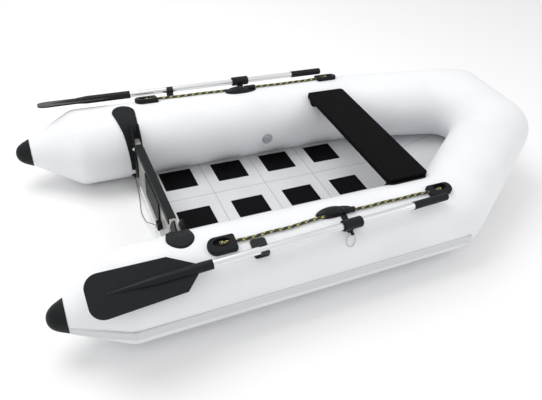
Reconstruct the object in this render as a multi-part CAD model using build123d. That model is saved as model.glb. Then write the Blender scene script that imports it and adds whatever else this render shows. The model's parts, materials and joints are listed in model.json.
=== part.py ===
from build123d import *
import os
from math import atan2, cos, degrees, hypot, pi, radians, sin, tan

# Inflatable dinghy with a slatted roll-up floor, a transom, a bench seat and two stowed oars.
# Millimetres. +X points to the bow, +Y to port, +Z up. The origin is on the ground, under the
# middle of the hull. Everything beside the centreline is made for port and mirrored.

# ---- hull tubes -------------------------------------------------------------------------
LENGTH = 2350.0             # over the stern caps and the front tube
TUBE_R = 175.0              # outside radius of the tubes
TUBE_Y = 490.0              # from the centreline to a side tube's axis
BOW_LENGTH = 502.0          # from the shoulders to the front tube's axis
BOW_RISE = 141.0            # how far the tubes climb from the shoulders to the front
FRONT_HALF = 162.0          # half length of the front tube's axis
SKIN = 1.2                  # coated fabric
CONE_LENGTH = 194.0         # stern cone
CONE_END_R = 60.0           # radius where the cone meets its cap
CONE_SHIFT = 19.0           # the cone's end lies outboard of the tube's axis
CAP_WALL = 4.0
CAP_LIP = 2.0               # the cap stands proud of the cone
CAP_TAPER = 0.38            # of the cap's radius
CAP_SHOULDER = 0.82

ZC = TUBE_R                 # height of the side tubes' axes
X_STERN = -LENGTH / 2
X_FRONT = LENGTH / 2 - TUBE_R
X_SHOULDER = X_FRONT - BOW_LENGTH
CAP_R = CONE_END_R + CAP_LIP
X_CONE_END = X_STERN + CAP_R
X_CONE_START = X_CONE_END + CONE_LENGTH
BOW_SLOPE = degrees(atan2(BOW_RISE, BOW_LENGTH))

# ---- rubbing strake ---------------------------------------------------------------------
STRAKE_FROM = 89.0          # degrees outboard from the top of the tube
STRAKE_TO = 103.0
STRAKE_PROUD = 7.0
STRAKE_BEYOND_SHOULDER = 14.0
GLUE_GAP = 0.2              # between a glued piece and the tube

# ---- floor ------------------------------------------------------------------------------
SHEET = 2.0                 # thickness of the bottom and the deck
BOTTOM_Z = 8.0              # underside of the bottom
DECK_TOP = 24.0
SLAT_COUNT = 4
SLAT_T = 9.0
SLAT_MARGIN = 13.0          # how far a slat runs on past its windows
WINDOW_LENGTH = 159.0
WINDOW_PITCH = 263.5
WINDOW_FIRST_X = -502.0     # middle of the aftmost windows
WINDOW_SIDE_Y = 303.0
WINDOW_SIDE_W = 152.0
WINDOW_MID_W = 130.0
WINDOW_CORNER = 4.0
SHEET_CLEAR = 0.3           # between a sheet's edge and the tube

# ---- transom ----------------------------------------------------------------------------
TRANSOM_X = -677.5
TRANSOM_T = 25.0
TRANSOM_TOP = 272.0
FLAP_TOP = 58.0             # the bottom's aft flap on the board
HOLDER_T = 6.0
HOLDER_CHEEK_R = 46.0       # how far the cheeks reach from the tube
HOLDER_CHEEK_T = 6.0
HOLDER_MID = -50.0          # degrees, the middle of the holder's arc
BOARD_CLEAR = 0.3
EDGE_T = 4.0                # top edge moulding
EDGE_DEPTH = 26.0
EDGE_PORT = 284.0
EDGE_STARBOARD = -252.0
PAD_W = 220.0               # motor pads
PAD_H = 118.0
PAD_T = 7.0
PAD_LIFT = 4.0              # between the pads and the edge moulding
BOLT_R = 4.0
BOLT_REACH = 33.0           # from the tube's surface
BOLT_ANGLE = -70.0
BOLT_CLEAR = 0.2

# ---- drain ------------------------------------------------------------------------------
DRAIN_Y = -120.0
DRAIN_Z = 135.0
DRAIN_BORE_R = 9.0
DRAIN_BARREL_R = 12.0
DRAIN_FLANGE_R = 21.0
DRAIN_FLANGE_T = 4.0
PLUG_KNOB_R = 19.0
PLUG_KNOB_T = 12.0
PLUG_LOBE_R = 6.5
PLUG_STEM = 30.0
PLUG_RUN = 0.08             # running clearance
EYE_PAD = (30.0, 34.0)
EYE_PAD_T = 2.0
EYE_R = 4.5
LEASH_D = 3.5
LEASH_ROUTE = [(-695.0, 341.0, 54.0), (-695.0, 334.0, 37.0), (-695.5, 322.0, 21.0),
               (-696.5, 303.0, 8.0), (-698.5, 276.0, 2.2), (-703.0, 242.0, 1.8),
               (-709.0, 205.0, 2.0), (-716.0, 168.0, 1.9), (-720.5, 130.0, 2.2),
               (-718.5, 88.0, 4.8), (-716.0, 51.0, 17.0), (-714.0, 18.0, 40.0),
               (-713.0, -12.0, 61.0), (-711.5, -42.0, 82.0), (-707.0, -72.0, 101.0),
               (-704.0, -103.7, 118.7)]

# ---- seat -------------------------------------------------------------------------------
SEAT_X = 318.0
SEAT_W = 207.0
SEAT_HALF = 400.0
SEAT_T = 25.0
SEAT_TOP = 351.0
SEAT_CORNER = 18.0
BRACKET_T = 5.0
BRACKET_LENGTH = 187.0
BRACKET_ANGLE = -38.0
BRACKET_WIDTH = 74.0
REST_W = 34.0
REST_GAP = 0.3

# ---- inflation valve --------------------------------------------------------------------
VALVE_X = -34.0
VALVE_ANGLE = -92.0
VALVE_FLANGE_R = 27.0
VALVE_BARREL_R = 17.0
VALVE_BORE_R = 13.0
VALVE_DEPTH = 28.0
VALVE_PROUD = 6.0
VALVE_CAP_R = 21.0
VALVE_CAP_T = 7.0
VALVE_RUN = 0.1
VALVE_WEB_T = 3.0
VALVE_WEB_DEPTH = 14.0
STEM_R = 3.0
STEM_HEAD_R = 7.0
STEM_DISC_R = 11.0
SPRING_WIRE = 0.5
SPRING_R = 4.6

# ---- lifeline ---------------------------------------------------------------------------
ROPE_D = 12.0
ROPE_CHANNEL = 0.6
GUIDE_STERN = (-577.0, 15.0)    # along the boat, degrees outboard of the tube's top
GUIDE_STERN_SIZE = (105.0, 68.0)
GUIDE_BOW = (387.0, 11.3)
GUIDE_BOW_SIZE = (116.0, 57.0)
GUIDE_HEIGHT = 18.0
GUIDE_FAR_END = 0.46        # of the width, corner radius at the rounded end
GUIDE_SQUARE_END = 9.0      # corner radius at the end the rope leaves by
GUIDE_POCKET = (64.0, 34.0)
GUIDE_FLOOR = 1.2
GUIDE_ROUND = 5.0
GUIDE_SHIFT = 7.0           # the pocket lies towards the boat's middle
KNOT_R = 8.6
# along the boat, degrees outboard of the tube's top, height over the tube's surface
ROPE_ROUTE = [(-568.0, 13.0, 10.0), (-525.0, 13.6, 8.6), (-470.0, 14.4, 6.9), (-395.0, 12.6, 6.8),
              (-315.0, 13.4, 6.9), (-240.0, 11.2, 7.4), (-175.0, 10.2, 8.4), (-95.0, 9.6, 8.5),
              (-30.0, 9.9, 8.3), (35.0, 10.9, 7.0), (110.0, 9.5, 6.8), (190.0, 10.7, 6.9),
              (265.0, 9.9, 7.0), (330.0, 11.2, 8.3), (377.0, 11.3, 10.0)]

# ---- rowlock ----------------------------------------------------------------------------
PIVOT_X = -82.0
OAR_ANGLE = 30.5            # degrees outboard of the tube's top, at the rowlock
OAR_LIFT = 37.0             # from the tube's surface to the oar's axis
OAR_TOE_IN = 1.8            # degrees, the grip lies further inboard than the blade
BLADE_ROLL = {"port": 10.0, "starboard": 0.0}    # degrees about the oar, at rest
PIN_TILT = 20.0             # degrees outboard, the swivel pin's axis
PIN_R = 6.0
PIN_RUN = 0.05
SLEEVE_R = 22.0
SLEEVE_LENGTH = 78.0
BUSH_R = 17.4
BUSH_FLANGE_R = 19.5
BUSH_FLANGE_T = 3.0
BUSH_RUN = 0.06
EAR_R = 17.0
EAR_GAP = 2.0
BASE_X = -108.0
BASE_ANGLE = 5.5
BASE_LENGTH = 158.0
BASE_WIDTH = 52.0
BASE_T = 4.0
HOOD_X = -126.0
HOOD_LENGTH = 128.0
HOOD_R = 26.0
BOSS_R = 11.5
BOSS_LENGTH = 54.0
LUG_R = 5.5
LUG_HEIGHT = 8.0
LUG_NECK = 14.0
LUG_X = -76.0
LUG_ANGLE = 40.6
LOOP_D = 2.5
LOOP_HALF_LENGTH = 25.0
LOOP_HALF_WIDTH = 19.0
LOOP_TILT = 31.0            # degrees, the loop's lower end lies further aft
LOOP_GAP = 22.0             # degrees of the oval left open at the lug
LOOP_STEPS = 10
LOOP_HIGH = 5.2             # over the tube, at the lug
LOOP_LOW = 2.1

# ---- oar --------------------------------------------------------------------------------
SHAFT_R = 14.0
SHAFT_WALL = 1.5
SHAFT_AFT = -735.0          # along the oar from the pivot, positive towards the grip
SHAFT_FORE = 448.0
BLADE_TIP = -965.0
BLADE_THROAT = -555.0
BLADE_SHOULDER_IN = -696.0   # the edge towards the boat's middle, at rest
BLADE_SHOULDER_OUT = -658.0
BLADE_NECK = -606.0
BLADE_TIP_HALF = 78.0
BLADE_ROOT_HALF = 67.0
BLADE_T = 6.0
BLADE_CORNER = 48.0
SOCKET_R = 18.0
SPINE_END = -905.0
SPINE_END_R = 4.0
OAR_FIT = 0.05
GRIP_START = 290.0
GRIP_END = 462.0
GRIP_R = 16.5
GRIP_ROUND = 8.0
CLIP_X = -365.0             # along the oar from the pivot
CLIP_LENGTH = 30.0
CLIP_T = 5.0
CLIP_RUN = 0.4
CLIP_MOUTH = 96.0           # degrees
CLIP_PAD = (60.0, 74.0)
CLIP_PAD_SHIFT = -2.0        # degrees, the pad reaches further inboard than outboard
CLIP_PAD_T = 4.0
CLIP_FOOT_W = 20.0

FAR = 3000.0                # longer than anything here


# ---- places on the port tube ------------------------------------------------------------
def on_tube(x, angle, height=0.0):
    """A point over the port tube: angle from its top, outboard positive."""
    reach = TUBE_R + height
    return Vector(x, TUBE_Y + reach * sin(radians(angle)), ZC + reach * cos(radians(angle)))


def tube_plane(x, angle, height=0.0):
    """A plane that lies on the port tube with its normal pointing away from the tube's axis."""
    normal = (0, sin(radians(angle)), cos(radians(angle)))
    return Plane(origin=on_tube(x, angle, height), x_dir=(1, 0, 0), z_dir=normal)


def along_x(x_from, x_to, radius, y=TUBE_Y, z=ZC):
    """A round bar along X."""
    bar = Cylinder(radius, x_to - x_from, align=(Align.CENTER, Align.CENTER, Align.MIN))
    return Plane(origin=(x_from, y, z), z_dir=(1, 0, 0)) * bar


def block(x_from, x_to, y_from, y_to, z_from, z_to):
    """A box between two corners."""
    middle = Pos((x_from + x_to) / 2, (y_from + y_to) / 2, (z_from + z_to) / 2)
    return middle * Box(x_to - x_from, y_to - y_from, z_to - z_from)


def mirrored(solid):
    return mirror(solid, about=Plane.XZ)


def saddle(outline, plane, inner, outer):
    """A patch of even thickness that hugs the port tube, with the given outline."""
    axis_depth = TUBE_R + outer + 60
    prism = extrude(plane * outline, amount=-TUBE_R / 2) + extrude(plane * outline,
                                                            amount=axis_depth - TUBE_R)
    x_low = plane.origin.X - FAR / 10
    x_high = plane.origin.X + FAR / 10
    ring = along_x(x_low, x_high, TUBE_R + outer) - along_x(x_low, x_high, TUBE_R + inner)
    return prism & ring


# ---- hull tubes -------------------------------------------------------------------------
SHOULDER = Vector(X_SHOULDER, TUBE_Y, ZC)
CORNER = Vector(X_FRONT, FRONT_HALF, ZC + BOW_RISE)
AHEAD = Vector(1, 0, 0)
DIAGONAL = (CORNER - SHOULDER).normalized()
ACROSS = Vector(0, -1, 0)


def mitred(start, end, radius, start_normal, end_normal, inset=0.0):
    """A round bar from start to end, cut by a plane at each end."""
    way = (end - start).normalized()
    overrun = 2 * radius
    bar = Cylinder(radius, (end - start).length + 2 * overrun, align=(Align.CENTER, Align.CENTER,
                                                            Align.MIN))
    solid = Plane(origin=start - way * overrun, z_dir=way) * bar
    if start_normal is not None:
        cut = start + start_normal * (inset / start_normal.dot(way))
        solid = split(solid, bisect_by=Plane(origin=cut, z_dir=start_normal), keep=Keep.TOP)
    if end_normal is not None:
        cut = end - end_normal * (inset / end_normal.dot(way))
        solid = split(solid, bisect_by=Plane(origin=cut, z_dir=end_normal), keep=Keep.BOTTOM)
    return solid


SHOULDER_NORMAL = (AHEAD + DIAGONAL).normalized()
CORNER_NORMAL = (DIAGONAL + ACROSS).normalized()


def side_form(offset=0.0, inset=0.0):
    """The side tube with its stern cone, grown by offset, its ends drawn in by inset."""
    radius = TUBE_R + offset
    start = Vector(X_CONE_START, TUBE_Y, ZC)
    straight = mitred(start, SHOULDER, radius, None, SHOULDER_NORMAL, inset)
    straight = split(straight, bisect_by=Plane(origin=start, z_dir=(1, 0, 0)), keep=Keep.TOP)
    end_x = X_CONE_END + inset
    big = Plane(origin=start, z_dir=(-1, 0, 0)) * Circle(radius)
    small_centre = (end_x, TUBE_Y + CONE_SHIFT * (X_CONE_START - end_x) / CONE_LENGTH, ZC)
    small_r = TUBE_R + (CONE_END_R - TUBE_R) * (X_CONE_START - end_x) / CONE_LENGTH + offset
    small = Plane(origin=small_centre, z_dir=(-1, 0, 0)) * Circle(small_r)
    cone = loft([big.face(), small.face()], ruled=True)
    return straight + cone


def diagonal_form(offset=0.0, inset=0.0):
    return mitred(SHOULDER, CORNER, TUBE_R + offset, SHOULDER_NORMAL, CORNER_NORMAL, inset)


def front_form(offset=0.0, inset=0.0):
    other = Vector(CORNER.X, -CORNER.Y, CORNER.Z)
    other_normal = Vector(-CORNER_NORMAL.X, CORNER_NORMAL.Y, -CORNER_NORMAL.Z)
    return mitred(CORNER, other, TUBE_R + offset, CORNER_NORMAL, other_normal, inset)


def chamber(form):
    """One air chamber: a closed skin of coated fabric."""
    return form() - form(offset=-SKIN, inset=SKIN)


def valve_hole():
    hole = Cylinder(VALVE_BARREL_R + GLUE_GAP, 4 * SKIN + 4)
    return tube_plane(VALVE_X, VALVE_ANGLE) * hole


def cut_by_tubes(solid, clear):
    """Takes the tubes, grown by clear, out of a solid that spans the hull."""
    for form in (side_form(offset=clear), diagonal_form(offset=clear)):
        solid = solid - form - mirrored(form)
    return solid - front_form(offset=clear)


# ---- pieces of the hull -----------------------------------------------------------------
def end_cap():
    """A hollow blunt nose that carries on the cone's taper."""
    shell = nose(CAP_R) - nose(CAP_R - CAP_WALL)
    upright = Plane(origin=(X_CONE_END, TUBE_Y + CONE_SHIFT, ZC), x_dir=(-1, 0, 0), z_dir=(0, 0, 1))
    return upright * shell


def nose(size):
    """A solid of revolution about local X: a short taper, then a rounded tip."""
    shoulder = (CAP_TAPER * size, CAP_SHOULDER * size)
    slope = (1 - CAP_SHOULDER) / CAP_TAPER
    reach = 0.37 * size
    bend = (shoulder[0] + reach, shoulder[1] - slope * reach)
    lines = Line((0, 0), (0, size)) + Line((0, size), shoulder)
    lines += Bezier(shoulder, bend, (size, 0.4 * size), (size, 0))
    lines += Line((size, 0), (0, 0))
    return revolve(make_face(lines), axis=Axis.X)


def rub_strake():
    ribbon = side_form(offset=STRAKE_PROUD) - side_form(offset=GLUE_GAP)
    reach = 2 * TUBE_R
    wedge_points = [(0, 0)]
    for angle in (STRAKE_FROM, STRAKE_TO):
        wedge_points.append((reach * sin(radians(angle)), reach * cos(radians(angle))))
    wedge_face = make_face(Polyline(wedge_points, close=True))
    wedge_plane = Plane(origin=(X_CONE_END, TUBE_Y, ZC), x_dir=(0, 1, 0), z_dir=(1, 0, 0))
    wedge = extrude(wedge_plane * wedge_face, amount=X_SHOULDER + STRAKE_BEYOND_SHOULDER - X_CONE_END)
    return ribbon & wedge


def hull_sheet(underside, x_from):
    """A flat sheet between the tubes that climbs with them at the bow."""
    flat = block(x_from, X_FRONT, -TUBE_Y, TUBE_Y, underside, underside + SHEET)
    bow_plane = Plane(origin=(X_SHOULDER, 0, ZC), x_dir=(cos(radians(BOW_SLOPE)), 0,
                                                         sin(radians(BOW_SLOPE))),
                      z_dir=(-sin(radians(BOW_SLOPE)), 0, cos(radians(BOW_SLOPE))))
    ramp_length = hypot(BOW_LENGTH, BOW_RISE)
    side_slope = (TUBE_Y - FRONT_HALF) / ramp_length
    back = TUBE_R
    wide = TUBE_Y + side_slope * back
    trapezoid = make_face(Polyline([(-back, -wide), (ramp_length, -FRONT_HALF), (ramp_length, FRONT_HALF),
                                    (-back, wide)], close=True))
    ramp = extrude(bow_plane.offset(underside - ZC) * trapezoid, amount=SHEET)
    half = radians(BOW_SLOPE / 2)
    crease = Plane(origin=(X_SHOULDER, 0, ZC), z_dir=(cos(half), 0, sin(half)))
    flat = split(flat, bisect_by=crease, keep=Keep.BOTTOM)
    ramp = split(ramp, bisect_by=crease, keep=Keep.TOP)
    return cut_by_tubes(flat + ramp, SHEET_CLEAR)


def hull_bottom():
    """The bottom, with the flap that is glued up the transom's aft face."""
    aft_face = TRANSOM_X - TRANSOM_T / 2
    sheet = hull_sheet(BOTTOM_Z, aft_face - SHEET)
    flap = block(aft_face - SHEET, aft_face, -TUBE_Y, TUBE_Y, BOTTOM_Z, FLAP_TOP)
    flap = flap - along_x(aft_face - FAR / 10, aft_face + FAR / 10, TUBE_R + HOLDER_T + 2 * GLUE_GAP)
    other = along_x(aft_face - FAR / 10, aft_face + FAR / 10, TUBE_R + HOLDER_T + 2 * GLUE_GAP, y=-TUBE_Y)
    flap = flap - other
    middle = block(aft_face - SHEET, aft_face, -FLAP_HALF, FLAP_HALF, BOTTOM_Z, FLAP_TOP)
    return sheet + (flap & middle)


FLAP_HALF = TUBE_Y - TUBE_R - HOLDER_CHEEK_R - 4   # clear of the holders' cheeks


def window_centres():
    """Middle of each window in the deck, with its width across the boat."""
    for row in range(SLAT_COUNT):
        x = WINDOW_FIRST_X + row * WINDOW_PITCH
        for y, width in ((-WINDOW_SIDE_Y, WINDOW_SIDE_W), (0, WINDOW_MID_W), (WINDOW_SIDE_Y,
                                                            WINDOW_SIDE_W)):
            yield x, y, width


def floor_deck():
    deck = hull_sheet(DECK_TOP - SHEET, TRANSOM_X + TRANSOM_T / 2 + SHEET_CLEAR)
    for x, y, width in window_centres():
        opening = Pos(x, y, DECK_TOP) * extrude(RectangleRounded(WINDOW_LENGTH, width, WINDOW_CORNER),
                                                amount=2 * SHEET, both=True)
        deck = deck - opening
    return deck


def floor_slat(row):
    x = WINDOW_FIRST_X + row * WINDOW_PITCH
    half = WINDOW_LENGTH / 2 + SLAT_MARGIN
    top = DECK_TOP - SHEET - SHEET_CLEAR
    slat = block(x - half, x + half, -TUBE_Y, TUBE_Y, top - SLAT_T, top)
    return cut_by_tubes(slat, SHEET_CLEAR)


# ---- transom ----------------------------------------------------------------------------
def bolt_places():
    reach = BOLT_REACH
    port = on_tube(TRANSOM_X, BOLT_ANGLE, reach)
    return [(port.Y, port.Z), (-port.Y, port.Z)]


def bar_through_transom(y, z, radius, x_from, x_to):
    return along_x(x_from, x_to, radius, y=y, z=z)


def transom_board():
    aft = TRANSOM_X - TRANSOM_T / 2
    fore = TRANSOM_X + TRANSOM_T / 2
    board = block(aft, fore, -TUBE_Y, TUBE_Y, BOTTOM_Z + SHEET, TRANSOM_TOP)
    for side_y in (TUBE_Y, -TUBE_Y):
        board = board - along_x(aft - 10, fore + 10, TUBE_R + HOLDER_T + BOARD_CLEAR, y=side_y)
    for y, z in bolt_places():
        board = board - bar_through_transom(y, z, BOLT_R + BOLT_CLEAR, aft - 10, fore + 10)
    return board - bar_through_transom(DRAIN_Y, DRAIN_Z, DRAIN_BARREL_R + BOLT_CLEAR, aft - 10, fore + 10)


def transom_edge():
    aft = TRANSOM_X - TRANSOM_T / 2
    fore = TRANSOM_X + TRANSOM_T / 2
    outer = block(aft - EDGE_T, fore + EDGE_T, EDGE_STARBOARD, EDGE_PORT, TRANSOM_TOP - EDGE_DEPTH,
                  TRANSOM_TOP + EDGE_T)
    outer = fillet(outer.edges().filter_by(Axis.Y).group_by(Axis.Z)[-1], EDGE_T)
    outer = outer - block(aft, fore, -TUBE_Y, TUBE_Y, 0, TRANSOM_TOP)
    return outer - along_x(aft - 50, fore + 50, TUBE_R + HOLDER_CHEEK_R + BOARD_CLEAR)


def motor_pad(outward):
    """A plate for the outboard's clamp; outward is -1 on the aft face and +1 on the inner face."""
    near = TRANSOM_X + outward * TRANSOM_T / 2
    top = TRANSOM_TOP - EDGE_DEPTH - PAD_LIFT
    plate = block(min(near, near + outward * PAD_T), max(near, near + outward * PAD_T), -PAD_W / 2,
                  PAD_W / 2,
                  top - PAD_H, top)
    return plate - bar_through_transom(DRAIN_Y, DRAIN_Z, DRAIN_FLANGE_R + 2, near - 50, near + 50)


def transom_holder():
    """A moulded patch on the tube whose two cheeks clasp the board's end."""
    plane = tube_plane(TRANSOM_X - 14, HOLDER_MID)
    foot = -0.88 * TUBE_R
    waist = -0.17 * TUBE_R
    neck = 0.08 * TUBE_R
    crown = 0.62 * TUBE_R
    body = make_face(Polyline([(-19, foot), (28, foot), (36, waist), (34, neck), (40, crown), (-60, crown),
                               (-36, neck), (-31, waist)], close=True))
    outline = body + Pos(-10, crown) * Ellipse(50, 36)
    patch = saddle(outline, plane, GLUE_GAP, HOLDER_T)
    cheeks = Part()
    for side in (-1, 1):
        near = TRANSOM_X + side * (TRANSOM_T / 2 + BOARD_CLEAR)
        far = near + side * HOLDER_CHEEK_T
        low, high = min(near, far), max(near, far)
        ring = along_x(low, high, TUBE_R + HOLDER_CHEEK_R) - along_x(low, high, TUBE_R + HOLDER_T / 2)
        cheeks += ring & sector(low, high, -40, -112)
    holder = patch + cheeks
    for y, z in bolt_places():
        holder = holder - bar_through_transom(y, z, BOLT_R + BOLT_CLEAR, TRANSOM_X - 60, TRANSOM_X + 60)
    return holder


def leash_eye():
    """A small patch with an upright eye, low on the port tube just aft of the transom."""
    start = Vector(*LEASH_ROUTE[0])
    angle = degrees(atan2(start.Y - TUBE_Y, start.Z - ZC))
    patch = saddle(RectangleRounded(*EYE_PAD, EYE_PAD[1] / 4), tube_plane(start.X, angle), GLUE_GAP,
                   EYE_PAD_T)
    reach = hypot(start.Y - TUBE_Y, start.Z - ZC) - TUBE_R
    post = disc(tube_plane(start.X, angle), EYE_R, 0, reach - LEASH_D / 2)
    return patch + (post - along_x(start.X - 60, start.X + 60, TUBE_R + GLUE_GAP))


def sector(x_from, x_to, angle_from, angle_to):
    """A slice of everything between two angles round the port tube's axis."""
    reach = 3 * TUBE_R
    points = [(0, 0)]
    steps = 4
    for step in range(steps + 1):
        angle = radians(angle_from + (angle_to - angle_from) * step / steps)
        points.append((reach * sin(angle), reach * cos(angle)))
    plane = Plane(origin=(x_from, TUBE_Y, ZC), x_dir=(0, 1, 0), z_dir=(1, 0, 0))
    return extrude(plane * make_face(Polyline(points, close=True)), amount=x_to - x_from)


def transom_bolts():
    outer = TRANSOM_T / 2 + BOARD_CLEAR + HOLDER_CHEEK_T
    group = []
    for y, z in bolt_places():
        shank = bar_through_transom(y, z, BOLT_R, TRANSOM_X - outer - 9, TRANSOM_X + outer + 9)
        for side in (-1, 1):
            start = TRANSOM_X + side * outer
            washer_end = start + side * 1.6
            head_end = washer_end + side * 5.5
            shank += bar_through_transom(y, z, 2.4 * BOLT_R, min(start, washer_end), max(start, washer_end))
            head_plane = Plane(origin=(min(washer_end, head_end), y, z), z_dir=(1, 0, 0))
            shank += extrude(head_plane * RegularPolygon(1.75 * BOLT_R, 6), amount=5.5)
        group.append(shank)
    return Compound(children=[piece.solid() for piece in group])


# ---- drain ------------------------------------------------------------------------------
def drain_body():
    aft = TRANSOM_X - TRANSOM_T / 2
    fore = TRANSOM_X + TRANSOM_T / 2
    body = bar_through_transom(DRAIN_Y, DRAIN_Z, DRAIN_BARREL_R, aft - DRAIN_FLANGE_T,
                               fore + DRAIN_FLANGE_T)
    body += bar_through_transom(DRAIN_Y, DRAIN_Z, DRAIN_FLANGE_R, aft - DRAIN_FLANGE_T, aft)
    body += bar_through_transom(DRAIN_Y, DRAIN_Z, DRAIN_FLANGE_R, fore, fore + DRAIN_FLANGE_T)
    return body - bar_through_transom(DRAIN_Y, DRAIN_Z, DRAIN_BORE_R, aft - 20, fore + 20)


def drain_plug():
    seat_x = TRANSOM_X - TRANSOM_T / 2 - DRAIN_FLANGE_T
    plug = bar_through_transom(DRAIN_Y, DRAIN_Z, DRAIN_BORE_R - PLUG_RUN, seat_x - 1, seat_x + PLUG_STEM)
    plug += bar_through_transom(DRAIN_Y, DRAIN_Z, DRAIN_FLANGE_R - 3, seat_x - 4, seat_x)
    plug += bar_through_transom(DRAIN_Y, DRAIN_Z, PLUG_KNOB_R - PLUG_LOBE_R + 2, seat_x - 4 - PLUG_KNOB_T,
                                seat_x - 4)
    for step in range(4):
        angle = radians(45 + 90 * step)
        reach = PLUG_KNOB_R - PLUG_LOBE_R + 3
        y = DRAIN_Y + reach * cos(angle)
        z = DRAIN_Z + reach * sin(angle)
        plug += bar_through_transom(y, z, PLUG_LOBE_R, seat_x - 4 - PLUG_KNOB_T, seat_x - 4)
    return plug


# ---- seat -------------------------------------------------------------------------------
def seat_plank():
    plank = Pos(SEAT_X, 0, SEAT_TOP) * extrude(RectangleRounded(SEAT_W, 2 * SEAT_HALF, SEAT_CORNER),
                                               amount=-SEAT_T)
    rims = plank.faces().sort_by(Axis.Z)
    return fillet(rims[-1].edges() + rims[0].edges(), 4)


def seat_bracket():
    """A glued patch with a ledge that the plank's end rests on."""
    plane = tube_plane(SEAT_X, BRACKET_ANGLE)
    outline = RectangleRounded(BRACKET_LENGTH, BRACKET_WIDTH, 20)
    patch = saddle(outline, plane, GLUE_GAP, BRACKET_T)
    under = SEAT_TOP - SEAT_T - REST_GAP
    ledge = block(SEAT_X - BRACKET_LENGTH / 2 + 12, SEAT_X + BRACKET_LENGTH / 2 - 12,
                  SEAT_HALF - 12 - REST_W,
                  SEAT_HALF - 12, under - 34, under)
    ledge = ledge - along_x(SEAT_X - 200, SEAT_X + 200, TUBE_R + GLUE_GAP)
    patch = patch - block(SEAT_X - 200, SEAT_X + 200, 0, SEAT_HALF + REST_GAP, under, SEAT_TOP + 50)
    return patch + ledge


# ---- inflation valve --------------------------------------------------------------------
def valve_frame(height=0.0):
    return tube_plane(VALVE_X, VALVE_ANGLE, height)


def disc(plane, radius, low, high):
    """A round bar along a plane's normal, between two heights."""
    bar = Cylinder(radius, high - low, align=(Align.CENTER, Align.CENTER, Align.MIN))
    return plane * (Pos(0, 0, low) * bar)


def valve_body():
    frame = valve_frame()
    flange = disc(frame, VALVE_FLANGE_R, -6, VALVE_PROUD)
    flange = flange - along_x(VALVE_X - 100, VALVE_X + 100, TUBE_R + GLUE_GAP)
    body = flange + disc(frame, VALVE_BARREL_R, -VALVE_DEPTH, VALVE_PROUD)
    body = body - disc(frame, VALVE_BORE_R, -VALVE_WEB_DEPTH, VALVE_PROUD + 1)
    body = body - disc(frame, VALVE_BORE_R, -VALVE_DEPTH - 1, -VALVE_WEB_DEPTH - VALVE_WEB_T)
    body = body - disc(frame, STEM_R + PIN_RUN, -VALVE_DEPTH, VALVE_PROUD)
    for step in range(4):
        place = Rot(0, 0, 90 * step + 45) * Pos(8.2, 0, 0)
        port_hole = Pos(0, 0, -VALVE_DEPTH) * Cylinder(2.2, VALVE_DEPTH, align=(Align.CENTER,
                                                            Align.CENTER, Align.MIN))
        body = body - frame * (place * port_hole)
    return body


def valve_cap():
    frame = valve_frame()
    cap = disc(frame, VALVE_CAP_R, VALVE_PROUD + 0.3, VALVE_PROUD + VALVE_CAP_T)
    crown = frame.origin + frame.z_dir * (VALVE_PROUD + VALVE_CAP_T)
    cap = fillet(cap.edges().sort_by_distance(crown)[0], 2.5)
    cap += disc(frame, VALVE_BORE_R - VALVE_RUN, VALVE_PROUD - 5, VALVE_PROUD + 1)
    grip = frame * (Pos(0, 0, VALVE_PROUD + VALVE_CAP_T) * Box(2 * VALVE_CAP_R - 10, 5, 5))
    return cap + grip


def valve_stem():
    frame = valve_frame()
    stem = disc(frame, STEM_R, -VALVE_DEPTH + 4, -5)
    stem += disc(frame, STEM_HEAD_R, -7, -5)
    return stem + disc(frame, STEM_DISC_R, -VALVE_WEB_DEPTH - VALVE_WEB_T - 4.2,
                       -VALVE_WEB_DEPTH - VALVE_WEB_T - 0.2)


def valve_spring():
    frame = valve_frame()
    free = VALVE_WEB_DEPTH - 7 - 4 * SPRING_WIRE
    coil = Helix(pitch=free / 4, height=free, radius=SPRING_R)
    start = coil.position_at(0)
    section = Plane(origin=start, z_dir=coil.tangent_at(0)) * Circle(SPRING_WIRE)
    wire = sweep(section, path=coil)
    return frame * (Pos(0, 0, -VALVE_WEB_DEPTH + 2 * SPRING_WIRE) * wire)


# ---- cords ------------------------------------------------------------------------------
def cord_path(points):
    """Straight runs joined by tangent arcs, each as large as its two runs allow."""
    points = [Vector(*point) for point in points]
    radii = []
    for before, here, after in zip(points, points[1:], points[2:]):
        turn = radians((here - before).get_angle(after - here))
        shorter = min((here - before).length, (after - here).length)
        radii.append(0.45 * shorter / tan(turn / 2))
    return FilletPolyline(*points, radius=radii), radii


def cord_tube(points, diameter):
    path, radii = cord_path(points)
    section = Plane(origin=path @ 0, z_dir=path % 0) * Circle(diameter / 2)
    tube = sweep(section, path=path)
    expected = pi * diameter * diameter / 4 * path.length
    print("cord: length %.1f, smallest radius %.1f, volume ratio %.4f" % (path.length, min(radii),
                                                            tube.volume / expected))
    return tube


def rope_points():
    return [on_tube(*place) for place in ROPE_ROUTE]


def loop_points():
    """An open oval that lies on the tube below the lug, tilted aft."""
    points = []
    tilt = radians(LOOP_TILT)
    for step in range(LOOP_STEPS + 1):
        turn = radians(LOOP_GAP + (360 - 2 * LOOP_GAP) * step / LOOP_STEPS)
        down = LOOP_HALF_LENGTH * (1 - cos(turn))
        aft = LOOP_HALF_WIDTH * sin(turn)
        x = LUG_X - aft * cos(tilt) - down * sin(tilt)
        around = down * cos(tilt) - aft * sin(tilt)
        fall = down / (2 * LOOP_HALF_LENGTH)
        points.append(on_tube(x, LUG_ANGLE + degrees(around / TUBE_R),
                              LOOP_HIGH + (LOOP_LOW - LOOP_HIGH) * fall))
    return points


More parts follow.
